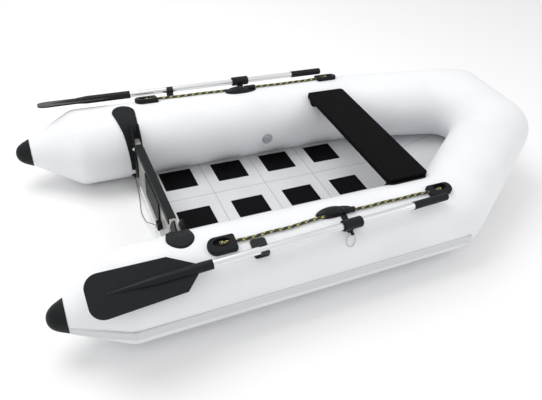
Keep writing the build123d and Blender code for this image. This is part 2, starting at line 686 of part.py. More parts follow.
def rope_guide(place, size, facing):
    """A moulded patch with a pocket for the rope's knot; its square end faces amidships."""
    plane = tube_plane(*place)
    outline = Rectangle(*size).face()
    far, near = (0, -1) if facing > 0 else (-1, 0)
    outline = fillet(outline.vertices().group_by(Axis.X)[far], GUIDE_FAR_END * size[1])
    outline = fillet(outline.vertices().group_by(Axis.X)[near], GUIDE_SQUARE_END)
    dome = extrude(plane.offset(-8) * outline, amount=GUIDE_HEIGHT + 8)
    crown = dome.faces().filter_by(GeomType.PLANE).sort_by_distance(plane.origin + plane.z_dir * 100)[0]
    dome = fillet(crown.edges(), GUIDE_ROUND)
    oval = Pos(0, -GUIDE_SHIFT) * Ellipse(GUIDE_POCKET[0] / 2, GUIDE_POCKET[1] / 2)
    pocket = extrude(plane.offset(GUIDE_FLOOR) * oval, amount=2 * GUIDE_HEIGHT)
    dome = dome - pocket
    return dome - along_x(place[0] - 200, place[0] + 200, TUBE_R + GLUE_GAP)


def rope_knot(end):
    point = rope_points()[end]
    shift = -1 if end == 0 else 1
    return Pos(point.X + shift * KNOT_R, point.Y, point.Z) * Sphere(KNOT_R)


# ---- rowlock ----------------------------------------------------------------------------
PIVOT = on_tube(PIVOT_X, OAR_ANGLE, OAR_LIFT)


class Stow:
    """How one oar lies at rest; the blade's roll is all that differs between the sides."""

    def __init__(self, roll):
        outward = Vector(0, sin(radians(OAR_ANGLE)), cos(radians(OAR_ANGLE)))
        inboard = Vector(0, -cos(radians(OAR_ANGLE)), sin(radians(OAR_ANGLE)))
        self.way = AHEAD * cos(radians(OAR_TOE_IN)) + inboard * sin(radians(OAR_TOE_IN))
        side = outward.cross(self.way)
        face_normal = outward * cos(radians(roll)) - side * sin(radians(roll))
        self.blade = Plane(origin=PIVOT, x_dir=self.way, z_dir=face_normal)
        self.section = Plane(origin=PIVOT, x_dir=outward, z_dir=self.way)
        upright = Vector(0, sin(radians(PIN_TILT)), cos(radians(PIN_TILT)))
        across = self.way.cross(upright).normalized()
        self.pin = across.cross(self.way).normalized()
        self.pin_frame = Plane(origin=PIVOT, x_dir=self.way, z_dir=self.pin)


def oar_bar(stow, radius, low, high):
    """A round bar on the oar's axis, between two places along it."""
    return disc(stow.section, radius, low, high)


def pin_bar(stow, radius, low, high):
    """A round bar on the swivel's axis, between two heights over the oar's axis."""
    return disc(stow.pin_frame, radius, low, high)


EAR_TOP = -SLEEVE_R - EAR_GAP
PIN_DEPTH = -(OAR_LIFT - 1.5)


def streamlined(plane, half_length, radius):
    """A body of revolution along the boat, pointed like a drop at both ends."""
    oval = make_face(Ellipse(half_length, radius).edges())
    upper = oval & (Pos(0, radius) * Rectangle(2 * half_length, 2 * radius))
    return plane * revolve(upper, axis=Axis.X)


def rowlock_base(stow, channel):
    """Streamlined moulding with an ear that carries the swivel's bore."""
    plane = tube_plane(BASE_X, BASE_ANGLE)
    plate = saddle(Ellipse(BASE_LENGTH / 2, BASE_WIDTH / 2), plane, GLUE_GAP, BASE_T)
    ear = pin_bar(stow, EAR_R, -OAR_LIFT - 12, EAR_TOP)
    arm_plane = tube_plane(PIVOT_X, (OAR_ANGLE + BASE_ANGLE) / 2)
    arm = saddle(Rectangle(1.5 * EAR_R, TUBE_R * radians(OAR_ANGLE - BASE_ANGLE)), arm_plane, GLUE_GAP,
                 BASE_T)
    hood = streamlined(tube_plane(HOOD_X, BASE_ANGLE), HOOD_LENGTH / 2, HOOD_R)
    boss_end = on_tube(BASE_X + BASE_LENGTH / 2, 9.8, 9.2)
    boss_start = on_tube(BASE_X + BASE_LENGTH / 2 - BOSS_LENGTH, 9.4, 9.4)
    boss_way = boss_end - boss_start
    boss = disc(Plane(origin=boss_start, z_dir=boss_way), BOSS_R, 0, boss_way.length)
    lug_plane = tube_plane(LUG_X, LUG_ANGLE)
    neck = Pos(0, -LUG_NECK / 2, LUG_HEIGHT / 4) * Box(1.6 * LUG_R, LUG_NECK, LUG_HEIGHT / 2 + 4)
    lug = disc(lug_plane, LUG_R, -6, LUG_HEIGHT) + lug_plane * neck
    base = plate + arm + ear + hood + boss + lug
    base = base - along_x(BASE_X - 200, BASE_X + 200, TUBE_R + GLUE_GAP)
    base = base - pin_bar(stow, PIN_R + PIN_RUN, -OAR_LIFT - 12, 0)
    return base - channel


def rowlock_swivel(stow):
    """The sleeve round the oar, with the pin it turns on."""
    swivel = oar_bar(stow, SLEEVE_R, -SLEEVE_LENGTH / 2, SLEEVE_LENGTH / 2)
    swivel += pin_bar(stow, 1.6 * PIN_R, EAR_TOP + EAR_GAP / 3, -BUSH_R - 1)
    swivel += pin_bar(stow, PIN_R, PIN_DEPTH, -BUSH_R - 1)
    return swivel - oar_bar(stow, BUSH_R + BUSH_RUN, -SLEEVE_LENGTH, SLEEVE_LENGTH)


def rowlock_bush(stow):
    half = SLEEVE_LENGTH / 2
    bush = oar_bar(stow, BUSH_R, -half - BUSH_FLANGE_T, half + BUSH_FLANGE_T)
    for side in (-1, 1):
        near = side * (half + 0.3)
        far = side * (half + 0.3 + BUSH_FLANGE_T)
        bush += oar_bar(stow, BUSH_FLANGE_R, min(near, far), max(near, far))
    return bush - oar_bar(stow, SHAFT_R + BUSH_RUN, -SLEEVE_LENGTH, SLEEVE_LENGTH)


# ---- oar --------------------------------------------------------------------------------
def oar_shaft(stow):
    bore = oar_bar(stow, SHAFT_R - SHAFT_WALL, SHAFT_AFT - 1, SHAFT_FORE + 1)
    return oar_bar(stow, SHAFT_R, SHAFT_AFT, SHAFT_FORE) - bore


def oar_blade(stow):
    outline = make_face(Polyline([(BLADE_TIP, -BLADE_TIP_HALF), (BLADE_SHOULDER_IN, -BLADE_ROOT_HALF),
                                  (BLADE_NECK, -SOCKET_R + 2), (BLADE_NECK, SOCKET_R - 2),
                                  (BLADE_SHOULDER_OUT, BLADE_ROOT_HALF), (BLADE_TIP,
                                                            BLADE_TIP_HALF)], close=True))
    outline = fillet(outline.vertices().group_by(Axis.X)[0], BLADE_CORNER)
    plate = extrude(stow.blade * outline, amount=BLADE_T / 2, both=True)
    thick = stow.section.offset(SHAFT_AFT - 15) * Circle(SOCKET_R)
    thin = stow.section.offset(SPINE_END) * Circle(SPINE_END_R)
    spine = loft([thin.face(), thick.face()], ruled=True)
    socket = oar_bar(stow, SOCKET_R, SHAFT_AFT - 15, BLADE_THROAT)
    blade = plate + spine + socket
    return blade - oar_bar(stow, SHAFT_R + OAR_FIT, SHAFT_AFT, BLADE_THROAT + 1)


def oar_grip(stow):
    grip = oar_bar(stow, GRIP_R, GRIP_START, GRIP_END)
    ends = grip.edges().filter_by(GeomType.CIRCLE).sort_by_distance(PIVOT)
    grip = fillet(ends[-1], GRIP_ROUND)
    return grip - oar_bar(stow, SHAFT_R + OAR_FIT, GRIP_START - 1, SHAFT_FORE)


def oar_clip(stow):
    """A rubber clip with an open top that the shaft is pressed into."""
    ring_r = SHAFT_R + CLIP_RUN
    low = CLIP_X - CLIP_LENGTH / 2
    high = CLIP_X + CLIP_LENGTH / 2
    centre = PIVOT + stow.way * CLIP_X
    angle = degrees(atan2(centre.Y - TUBE_Y, centre.Z - ZC))
    lift = hypot(centre.Y - TUBE_Y, centre.Z - ZC) - TUBE_R
    pad_plane = tube_plane(centre.X, OAR_ANGLE + CLIP_PAD_SHIFT)
    pad = saddle(RectangleRounded(*CLIP_PAD, 12), pad_plane, GLUE_GAP, CLIP_PAD_T)
    foot = tube_plane(centre.X, angle) * (Pos(0, 0, lift / 2) * Box(CLIP_LENGTH, CLIP_FOOT_W, lift))
    ring = oar_bar(stow, ring_r + CLIP_T, low, high)
    half = radians(CLIP_MOUTH / 2)
    reach = 3 * ring_r
    mouth_face = make_face(Polyline([(0, 0), (reach * cos(half), -reach * sin(half)),
                                     (reach * cos(half), reach * sin(half))], close=True))
    mouth = extrude(stow.section.offset(low - 10) * mouth_face, amount=CLIP_LENGTH + 20)
    clip = pad + foot + ring - mouth
    clip = clip - oar_bar(stow, ring_r, low - 20, high + 20)
    return clip - along_x(centre.X - 100, centre.X + 100, TUBE_R + GLUE_GAP)


# ---- build ------------------------------------------------------------------------------
def save(name, shape):
    """Writes one node's file."""
    solids = shape.solids()
    whole = solids[0] if len(solids) == 1 else Compound(children=list(solids))
    whole.label = name
    export_step(whole, os.path.join("parts", name + ".step"))
    print("%-26s %2d solid(s) %12.0f mm3" % (name, len(solids), sum(solid.volume for solid in solids)))


def save_pair(name, shape):
    save(name + "_port", shape)
    save(name + "_starboard", mirrored(shape))


def main():
    os.makedirs("parts", exist_ok=True)
    save_pair("side_tube", chamber(side_form) - valve_hole())
    save_pair("bow_tube", chamber(diagonal_form))
    save("front_tube", chamber(front_form))
    save_pair("end_cap", end_cap())
    save_pair("rub_strake", rub_strake())
    save("hull_bottom", hull_bottom())
    save("floor_deck", floor_deck())
    for row in range(SLAT_COUNT):
        save("floor_slat_%d" % (row + 1), floor_slat(row))

    save("transom_board", transom_board())
    save("transom_edge", transom_edge())
    save("motor_pad_aft", motor_pad(-1))
    save("motor_pad_inner", motor_pad(1))
    save_pair("transom_holder", transom_holder())
    save("transom_bolts", transom_bolts())
    save("drain_body", drain_body())
    save("drain_plug", drain_plug())
    save("leash_eye", leash_eye())
    save("drain_leash", cord_tube(LEASH_ROUTE, LEASH_D))

    save("seat_plank", seat_plank())
    save_pair("seat_bracket", seat_bracket())
    save_pair("valve_body", valve_body())
    save_pair("valve_cap", valve_cap())
    save_pair("valve_stem", valve_stem())
    save_pair("valve_spring", valve_spring())

    rope = cord_tube(rope_points(), ROPE_D)
    channel = cord_tube(rope_points(), ROPE_D + 2 * ROPE_CHANNEL)
    save_pair("lifeline", rope)
    save_pair("rope_guide_stern", rope_guide(GUIDE_STERN, GUIDE_STERN_SIZE, 1) - channel)
    save_pair("rope_guide_bow", rope_guide(GUIDE_BOW, GUIDE_BOW_SIZE, -1) - channel)
    knots = [rope_knot(0), rope_knot(-1)]
    knots += [mirrored(knot) for knot in knots]
    save("lifeline_knots", Compound(children=[knot.solid() for knot in knots]))

    save_pair("keeper_loop", cord_tube(loop_points(), LOOP_D))
    for side, roll in BLADE_ROLL.items():
        stow = Stow(roll)
        pieces = {
            "rowlock_base": rowlock_base(stow, channel),
            "rowlock_swivel": rowlock_swivel(stow),
            "rowlock_bush": rowlock_bush(stow),
            "oar_clip": oar_clip(stow),
            "oar_shaft": oar_shaft(stow),
            "oar_blade": oar_blade(stow),
            "oar_grip": oar_grip(stow),
        }
        for name, piece in pieces.items():
            save(name + "_" + side, piece if side == "port" else mirrored(piece))
        print(side, "oar", stow.way, "pin", stow.pin, "pivot", PIVOT)
    print("valve", valve_frame().origin, valve_frame().z_dir)


main()
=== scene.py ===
import json
from math import cos, degrees, hypot, pi, radians, sin, tau

import bmesh
import bpy
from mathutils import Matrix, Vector


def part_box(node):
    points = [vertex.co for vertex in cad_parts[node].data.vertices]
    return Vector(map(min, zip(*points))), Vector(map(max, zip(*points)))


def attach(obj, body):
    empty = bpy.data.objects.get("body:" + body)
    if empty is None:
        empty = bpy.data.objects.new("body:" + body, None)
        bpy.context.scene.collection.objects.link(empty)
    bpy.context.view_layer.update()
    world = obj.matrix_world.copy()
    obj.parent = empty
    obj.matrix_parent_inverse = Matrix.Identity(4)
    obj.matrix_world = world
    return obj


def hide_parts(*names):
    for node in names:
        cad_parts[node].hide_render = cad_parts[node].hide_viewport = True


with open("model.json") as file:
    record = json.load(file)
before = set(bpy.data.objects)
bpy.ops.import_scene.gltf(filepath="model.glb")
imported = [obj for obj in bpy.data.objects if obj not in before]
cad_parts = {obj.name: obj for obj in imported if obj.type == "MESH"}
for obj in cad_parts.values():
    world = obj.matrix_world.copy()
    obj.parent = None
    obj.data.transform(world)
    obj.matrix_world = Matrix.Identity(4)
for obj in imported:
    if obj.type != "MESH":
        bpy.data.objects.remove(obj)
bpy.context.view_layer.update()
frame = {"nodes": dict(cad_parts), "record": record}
nodes = frame["nodes"]

# ---- sizes, in metres, worked out from the frame ----------------------------------------
side_low, side_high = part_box("side_tube_port")
front_low, front_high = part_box("front_tube")
cap_low, cap_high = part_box("end_cap_port")
R = (side_high[2] - side_low[2]) / 2            # tube radius
TUBE_Y = side_high[1] - R                       # a side tube's axis
ZC = R
X_FRONT = front_high[0] - R
Z_FRONT = front_high[2] - R
FRONT_HALF = 0.162
BOW_LENGTH = 0.502
X_SHOULDER = X_FRONT - BOW_LENGTH
CAP_R = cap_high[0] - cap_low[0]
CONE_SHIFT = (cap_low[1] + cap_high[1]) / 2 - TUBE_Y
CONE_END_R = CAP_R - 0.002
X_CONE_END = cap_high[0]
X_CONE_START = X_CONE_END + 0.194

AHEAD = Vector((1, 0, 0))
SIDES = (("port", 1), ("starboard", -1))


def on_tube(x, angle, height=0.0, side=1):
    """A point over a side tube: angle in degrees from its top, outboard positive."""
    reach = R + height
    return Vector((x, side * (TUBE_Y + reach * sin(radians(angle))), ZC + reach * cos(radians(angle))))


def mesh_object(name, points, faces, smooth=True):
    mesh = bpy.data.meshes.new(name)
    mesh.from_pydata([tuple(p) for p in points], [], faces)
    mesh.validate()
    piece = bpy.data.objects.new(name, mesh)
    bpy.context.scene.collection.objects.link(piece)
    work = bmesh.new()
    work.from_mesh(mesh)
    bmesh.ops.recalc_face_normals(work, faces=work.faces)
    work.to_mesh(mesh)
    work.free()
    for face in mesh.polygons:
        face.use_smooth = smooth
    return piece


def sharpen(piece, angle=40):
    """Keeps edges sharper than angle crisp on a smooth-shaded piece."""
    mesh = piece.data
    work = bmesh.new()
    work.from_mesh(mesh)
    for edge in work.edges:
        if len(edge.link_faces) == 2:
            edge.smooth = degrees(edge.calc_face_angle(0)) < angle
    work.to_mesh(mesh)
    work.free()
    for face in mesh.polygons:
        face.use_smooth = True
    return piece


def rings_to_mesh(name, rings, capped=True):
    """A closed skin over a row of rings with the same number of points."""
    count = len(rings[0])
    points = [p for ring in rings for p in ring]
    faces = []
    for r in range(len(rings) - 1):
        for k in range(count):
            after = (k + 1) % count
            faces.append((r * count + k, r * count + after, (r + 1) * count + after, (r + 1) * count + k))
    if capped:
        for r in (0, len(rings) - 1):
            centre = sum((Vector(p) for p in rings[r]), Vector()) / count
            points.append(centre)
            hub = len(points) - 1
            for k in range(count):
                faces.append((r * count + k, r * count + (k + 1) % count, hub))
    return mesh_object(name, points, faces)


# ---- materials --------------------------------------------------------------------------
class Surface:
    """Builds one node material from a principled shader and object-space textures."""

    def __init__(self, name, colour, roughness, metallic=0.0, specular=0.5, coat=0.0, sheen=0.0):
        self.material = bpy.data.materials.new(name)
        self.material.use_nodes = True
        self.tree = self.material.node_tree
        self.shader = self.tree.nodes["Principled BSDF"]
        self.shader.inputs["Metallic"].default_value = metallic
        self.shader.inputs["Specular IOR Level"].default_value = specular
        self.shader.inputs["Coat Weight"].default_value = coat
        self.shader.inputs["Coat Roughness"].default_value = 0.15
        self.shader.inputs["Sheen Weight"].default_value = sheen
        self.shader.inputs["Roughness"].default_value = roughness
        self.colour = colour
        self.roughness = roughness
        self.normal = None
        self.place = self.tree.nodes.new("ShaderNodeTexCoord")
        self.material.diffuse_color = (*colour, 1)

    def link(self, a, b):
        self.tree.links.new(a, b)

    def mapped(self, scale=(1, 1, 1), output="Object"):
        mapping = self.tree.nodes.new("ShaderNodeMapping")
        mapping.inputs["Scale"].default_value = scale
        self.link(self.place.outputs[output], mapping.inputs["Vector"])
        return mapping.outputs["Vector"]

    def noise(self, size, detail=3.0, stretch=(1, 1, 1), rough=0.5):
        texture = self.tree.nodes.new("ShaderNodeTexNoise")
        texture.inputs["Scale"].default_value = 1 / size
        texture.inputs["Detail"].default_value = detail
        texture.inputs["Roughness"].default_value = rough
        self.link(self.mapped(stretch), texture.inputs["Vector"])
        return texture.outputs["Fac"]

    def math(self, operation, a, b=None, c=None):
        node = self.tree.nodes.new("ShaderNodeMath")
        node.operation = operation
        for index, value in enumerate((a, b, c)):
            if value is None:
                continue
            if isinstance(value, (int, float)):
                node.inputs[index].default_value = value
            else:
                self.link(value, node.inputs[index])
        return node.outputs[0]

    def remap(self, value, low, high, to_low, to_high):
        node = self.tree.nodes.new("ShaderNodeMapRange")
        self.link(value, node.inputs["Value"])
        node.inputs["From Min"].default_value = low
        node.inputs["From Max"].default_value = high
        node.inputs["To Min"].default_value = to_low
        node.inputs["To Max"].default_value = to_high
        return node.outputs["Result"]

    def mix(self, factor, a, b):
        node = self.tree.nodes.new("ShaderNodeMix")
        node.data_type = "RGBA"
        self.link(factor, node.inputs[0])
        for index, value in ((6, a), (7, b)):
            if isinstance(value, tuple):
                node.inputs[index].default_value = (*value, 1)
            else:
                self.link(value, node.inputs[index])
        return node.outputs[2]

    def paint(self, colour_output):
        self.link(colour_output, self.shader.inputs["Base Color"])

    def vary(self, size, darker, detail=4.0, stretch=(1, 1, 1)):
        """Mottles the base colour between itself and a darker one."""
        factor = self.remap(self.noise(size, detail, stretch), 0.35, 0.7, 0.0, 1.0)
        out = self.mix(factor, self.colour, darker)
        self.paint(out)
        return out

    def gloss(self, size, spread, stretch=(1, 1, 1)):
        """Lets the roughness drift about its value."""
        value = self.noise(size, 4.0, stretch)
        self.link(self.remap(value, 0.3, 0.7, self.roughness - spread, self.roughness + spread),
                  self.shader.inputs["Roughness"])

    def bump(self, height, distance, strength=1.0):
        node = self.tree.nodes.new("ShaderNodeBump")
        node.inputs["Distance"].default_value = distance
        node.inputs["Strength"].default_value = strength
        self.link(height, node.inputs["Height"])
        if self.normal is not None:
            self.link(self.normal, node.inputs["Normal"])
        self.normal = node.outputs["Normal"]
        self.link(self.normal, self.shader.inputs["Normal"])

    def weave(self, pitch, distance, strength=0.5):
        """A plain weave in object space: two wave families laid over each other."""
        total = None
        for direction in ("X", "Y", "Z"):
            wave = self.tree.nodes.new("ShaderNodeTexWave")
            wave.bands_direction = direction
            wave.inputs["Scale"].default_value = tau / pitch / 20
            wave.inputs["Distortion"].default_value = 0.4
            self.link(self.mapped(), wave.inputs["Vector"])
            total = wave.outputs["Fac"] if total is None else self.math("ADD", total, wave.outputs["Fac"])
        self.bump(total, distance, strength)


def coated_fabric(name, colour, darker, roughness, weave_pitch=0.0016):
    """Welded boat fabric: a coated scrim with a faint weave, faint mottling and soft sheen."""
    surface = Surface(name, colour, roughness, specular=0.45, sheen=0.05)
    surface.vary(0.23, darker, 5.0)
    surface.gloss(0.05, 0.06)
    surface.bump(surface.noise(0.11, 2.0), 0.0022, 0.35)
    surface.weave(weave_pitch, 0.00006, 0.5)
    return surface.material


def seamed_fabric(name, colour, darker, roughness, seam_xs, seam_ys, half_width):
    """Boat fabric with a shadow line along each welded seam, laid out in object space."""
    surface = Surface(name, colour, roughness, specular=0.45, sheen=0.05)
    base = surface.vary(0.23, darker, 5.0)
    split = surface.tree.nodes.new("ShaderNodeSeparateXYZ")
    surface.link(surface.mapped(), split.inputs[0])
    line = None
    for axis, seams in ((0, seam_xs), (1, seam_ys)):
        for seam in seams:
            gap = surface.math("ABSOLUTE", surface.math("SUBTRACT", split.outputs[axis], seam))
            near = surface.math("LESS_THAN", gap, half_width)
            line = near if line is None else surface.math("MAXIMUM", line, near)
    surface.paint(surface.mix(line, base, tuple(0.62 * c for c in darker)))
    surface.gloss(0.05, 0.06)
    surface.bump(surface.noise(0.11, 2.0), 0.0022, 0.35)
    surface.weave(0.0016, 0.00006, 0.5)
    return surface.material


def moulded(name, colour, lighter, roughness, grain=0.0011, depth=0.00012, specular=0.5, coat=0.0):
    """Moulded plastic or rubber with a fine leathery grain and a few scuffs."""
    surface = Surface(name, colour, roughness, specular=specular, coat=coat)
    scuffs = surface.remap(surface.noise(0.018, 8.0, (1, 1, 1), 0.75), 0.58, 0.78, 0.0, 1.0)
    surface.paint(surface.mix(scuffs, colour, lighter))
    surface.gloss(0.012, 0.07)
    surface.bump(surface.noise(grain, 2.0), depth, 0.6)
    return surface.material


def painted_wood(name, colour, darker, roughness, along, coat=0.2, specular=0.5):
    """Painted plywood: grain telegraphing through a brushed coat."""
    surface = Surface(name, colour, roughness, specular=specular, coat=coat)
    stretch = [9.0, 9.0, 9.0]
    stretch[along] = 0.6
    grain = surface.noise(0.035, 6.0, tuple(stretch), 0.6)
    surface.paint(surface.mix(surface.remap(grain, 0.35, 0.75, 0.0, 1.0), colour, darker))
    surface.gloss(0.03, 0.06, tuple(stretch))
    surface.bump(grain, 0.00035, 0.5)
    surface.bump(surface.noise(0.0016, 2.0), 0.00008, 0.5)
    return surface.material


def metal(name, colour, roughness, stretch, lines=0.0009):
    """Drawn or brushed metal with fine lines along the draw."""
    surface = Surface(name, colour, roughness, metallic=1.0)
    surface.vary(0.04, tuple(c * 0.86 for c in colour), 4.0, stretch)
    surface.gloss(0.006, 0.08, stretch)
    surface.bump(surface.noise(lines, 3.0, stretch), 0.00005, 0.6)
    return surface.material


def rope_material(name, dark, fleck):
    """Braided rope: dark strands with tracer flecks, laid out in the tube's own coordinates."""
    surface = Surface(name, dark, 0.72, specular=0.3, sheen=0.25)
    split = surface.tree.nodes.new("ShaderNodeSeparateXYZ")
    surface.link(surface.place.outputs["UV"], split.inputs[0])
    around, along = split.outputs[0], split.outputs[1]
    left = surface.math("ADD", surface.math("MULTIPLY", around, STRANDS), along)
    right = surface.math("SUBTRACT", surface.math("MULTIPLY", around, STRANDS), along)
    tracer = surface.math("LESS_THAN", surface.math("FRACT", surface.math("DIVIDE", left, STRANDS)),
                          1.7 / STRANDS)
    band = surface.math("LESS_THAN", surface.math("FRACT", surface.math("DIVIDE", right, 2.0)), 0.66)
    on = surface.math("MULTIPLY", tracer, band)
    fibres = surface.noise(0.0007, 3.0)
    base = surface.mix(fibres, tuple(c * 0.55 for c in dark), tuple(min(1, c * 2.2) for c in dark))
    surface.paint(surface.mix(on, base, fleck))
    ply = surface.math("ABSOLUTE", surface.math("SINE", surface.math("MULTIPLY", left, 6 * pi)))
    surface.bump(ply, 0.0003, 0.5)
    surface.bump(fibres, 0.0002, 0.5)
    return surface.material


STRANDS = 4.0
WINDOW_PITCH = 0.2635
WINDOW_ROWS = [-0.502 + WINDOW_PITCH * row for row in range(4)]
SEAM_XS = [row + WINDOW_PITCH / 2 for row in WINDOW_ROWS[:-1]]
SEAM_YS = (-0.146, 0.146)
MATERIALS = {
    "hull_fabric": coated_fabric("hull_fabric", (0.84, 0.85, 0.87), (0.79, 0.80, 0.825), 0.46),
    "floor_fabric": seamed_fabric("floor_fabric", (0.72, 0.73, 0.75), (0.65, 0.66, 0.68), 0.55,
                                  SEAM_XS, SEAM_YS, 0.0016),
    "black_moulding": moulded("black_moulding", (0.010, 0.011, 0.012), (0.026, 0.027, 0.029), 0.55,
                              specular=0.15),
    "grey_rubber": moulded("grey_rubber", (0.66, 0.67, 0.69), (0.56, 0.57, 0.59), 0.55, 0.0014),
    "slat_black": painted_wood("slat_black", (0.003, 0.003, 0.004), (0.006, 0.006, 0.007), 0.65, 1, 0.0,
                               0.06),
    "transom_grey": painted_wood("transom_grey", (0.34, 0.34, 0.32), (0.27, 0.27, 0.255), 0.40, 1),
    "steel": metal("steel", (0.60, 0.60, 0.61), 0.30, (1, 1, 1)),
    "black_plastic": moulded("black_plastic", (0.007, 0.008, 0.010), (0.019, 0.020, 0.023), 0.45, 0.0013,
                             0.0001, 0.22),
    "grey_cord": moulded("grey_cord", (0.16, 0.16, 0.17), (0.26, 0.26, 0.27), 0.8, 0.0009, 0.0004, 0.3),
    "seat_black": painted_wood("seat_black", (0.002, 0.002, 0.0025), (0.005, 0.005, 0.006), 0.65, 1, 0.0,
                               0.05),
    "grey_plastic": moulded("grey_plastic", (0.36, 0.37, 0.39), (0.46, 0.47, 0.49), 0.45),
    "rope_fleck": rope_material("rope_fleck", (0.018, 0.019, 0.017), (0.46, 0.43, 0.12)),
    "clip_rubber": moulded("clip_rubber", (0.016, 0.017, 0.018), (0.04, 0.041, 0.043), 0.62, 0.0015,
                           0.0002, 0.35),
    "oar_aluminium": metal("oar_aluminium", (0.86, 0.87, 0.88), 0.34, (0.05, 1, 1)),
}


def finish_piece(piece, slot_name, body="hull"):
    piece.data.materials.clear()
    piece.data.materials.append(MATERIALS[slot_name])
    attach(piece, body)
    return piece


for part in frame["record"]["subparts"]:
    piece = nodes[part["node"]]
    piece.data.materials.clear()
    piece.data.materials.append(MATERIALS[part["material_slot"]])
    sharpen(piece, 30)


# ---- hull tubes -------------------------------------------------------------------------
SPOKES = 128
CORNER_ROUND = 0.085        # how far from a mitre the tube starts to bend
CONE_ROUND = 0.022


def mitre_point(corner, offset, way, normal):
    return corner + offset - way * (offset.dot(normal) / way.dot(normal))


def tube_lines():
    """For each spoke, its corners along the whole hull, from the port stern to the starboard stern."""
    axis = [Vector((X_CONE_START, TUBE_Y, ZC)), Vector((X_SHOULDER, TUBE_Y, ZC)),
            Vector((X_FRONT, FRONT_HALF, Z_FRONT)), Vector((X_FRONT, -FRONT_HALF, Z_FRONT)),
            Vector((X_SHOULDER, -TUBE_Y, ZC)), Vector((X_CONE_START, -TUBE_Y, ZC))]
    ways = [(b - a).normalized() for a, b in zip(axis, axis[1:])]
    lines = []
    for spoke in range(SPOKES):
        angle = tau * spoke / SPOKES
        offset = Vector((0, R * sin(angle), R * cos(angle)))
        small = CONE_END_R * Vector((0, sin(angle), cos(angle)))
        line = [Vector((X_CONE_END, TUBE_Y + CONE_SHIFT, ZC)) + small, axis[0] + offset]
        for index in range(1, 5):
            normal = (ways[index - 1] + ways[index]).normalized()
            point = mitre_point(axis[index], offset, ways[index - 1], normal)
            line.append(point)
            across = point - axis[index]
            offset = across - ways[index] * across.dot(ways[index])
        line.append(axis[5] + offset)
        end = Vector((X_CONE_END, -TUBE_Y - CONE_SHIFT, ZC))
        line.append(end + offset * (CONE_END_R / R))
        lines.append(line)
    return lines


def rounded(before, corner, after, reach, share):
    """A point on the curve that rounds a corner; share runs from 0 to 1 across it."""
    near = min(reach, 0.45 * (corner - before).length)
    far = min(reach, 0.45 * (after - corner).length)
    a = corner + (before - corner).normalized() * near
    b = corner + (after - corner).normalized() * far
    return a * (1 - share) ** 2 + corner * (2 * share * (1 - share)) + b * share ** 2


def stretch_rings(lines, index, spans):
    """Rings over one straight stretch, from half way round its first corner to half way round its last."""
    rings = []
    for share in spans["start"]:
        reach = CONE_ROUND if index in (1, 6) else CORNER_ROUND
        rings.append([rounded(l[index - 1], l[index], l[index + 1], reach, share) for l in lines])
    for step in range(1, spans["middle"]):
        ring = []
        for l in lines:
            a = rounded(l[index - 1], l[index], l[index + 1], CONE_ROUND if index in (1,
                                                            6) else CORNER_ROUND, 1)
            b = rounded(l[index], l[index + 1], l[index + 2],
                        CONE_ROUND if index + 1 in (1, 6) else CORNER_ROUND, 0)
            ring.append(a.lerp(b, step / spans["middle"]))
        rings.append(ring)
    for share in spans["end"]:
        reach = CONE_ROUND if index + 1 in (1, 6) else CORNER_ROUND
        rings.append([rounded(l[index], l[index + 1], l[index + 2], reach, share) for l in lines])
    return rings


HALF_DOWN = [0.5, 0.58, 0.66, 0.74, 0.82, 0.9, 1.0]
HALF_UP = [0.0, 0.1, 0.18, 0.26, 0.34, 0.42, 0.5]


def make_tubes():
    lines = tube_lines()
    whole = HALF_UP + HALF_DOWN[1:]

    def cone_rings(end, corner, beyond):
        rings = []
        for step in range(8):
            rings.append([l[end].lerp(rounded(l[end], l[corner], l[beyond], CONE_ROUND, 0),
                                      step / 8) for l in lines])
        for share in whole:
            rings.append([rounded(l[end], l[corner], l[beyond], CONE_ROUND, share) for l in lines])
        return rings

    stretch = {"start": HALF_DOWN, "middle": 14, "end": HALF_UP}
    port = cone_rings(0, 1, 2) + stretch_rings(lines, 1, {"start": [], "middle": 40, "end": HALF_UP})
    starboard = cone_rings(7, 6, 5)
    starboard += list(reversed(stretch_rings(lines, 5, {"start": HALF_DOWN, "middle": 40, "end": []})))
    pieces = {
        "side_tube_port": port,
        "bow_tube_port": stretch_rings(lines, 2, stretch),
        "front_tube": stretch_rings(lines, 3, stretch),
        "bow_tube_starboard": stretch_rings(lines, 4, stretch),
        "side_tube_starboard": starboard,
    }
    for node, rings in pieces.items():
        piece = rings_to_mesh("skin_" + node, rings)
        sharpen(piece, 50)
        finish_piece(piece, "hull_fabric")
        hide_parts(node)


make_tubes()


# ---- floor sheets -----------------------------------------------------------------------
WINDOW_LENGTH = 0.159
WINDOWS = ((-0.303, 0.152), (0.0, 0.130), (0.303, 0.152))
LONGEST_EDGE = 0.007
SEAM_HEIGHT = 0.0020
CROSS_SEAM_HALF = 0.008
LONG_SEAM_HALF = 0.006
FRAME_HEIGHT = 0.0013      # the welded frame round each window
FRAME_MIDDLE = 0.005       # outside the window's edge
FRAME_HALF = 0.011
EDGE_HOLD_Y = (0.36, 0.39)               # a sheet lies still from the first to past the second
BOW_HOLD = (X_SHOULDER - 0.06, X_SHOULDER - 0.03)
STERN_HOLD_X = (-0.655, -0.625)


def smooth_step(value, low, high):
    share = min(1.0, max(0.0, (value - low) / (high - low)))
    return share * share * (3 - 2 * share)


def ridge(distance, half_width):
    """1 on a welded seam, falling to 0 at its edge."""
    return 1 - smooth_step(abs(distance), 0.6 * half_width, half_width)


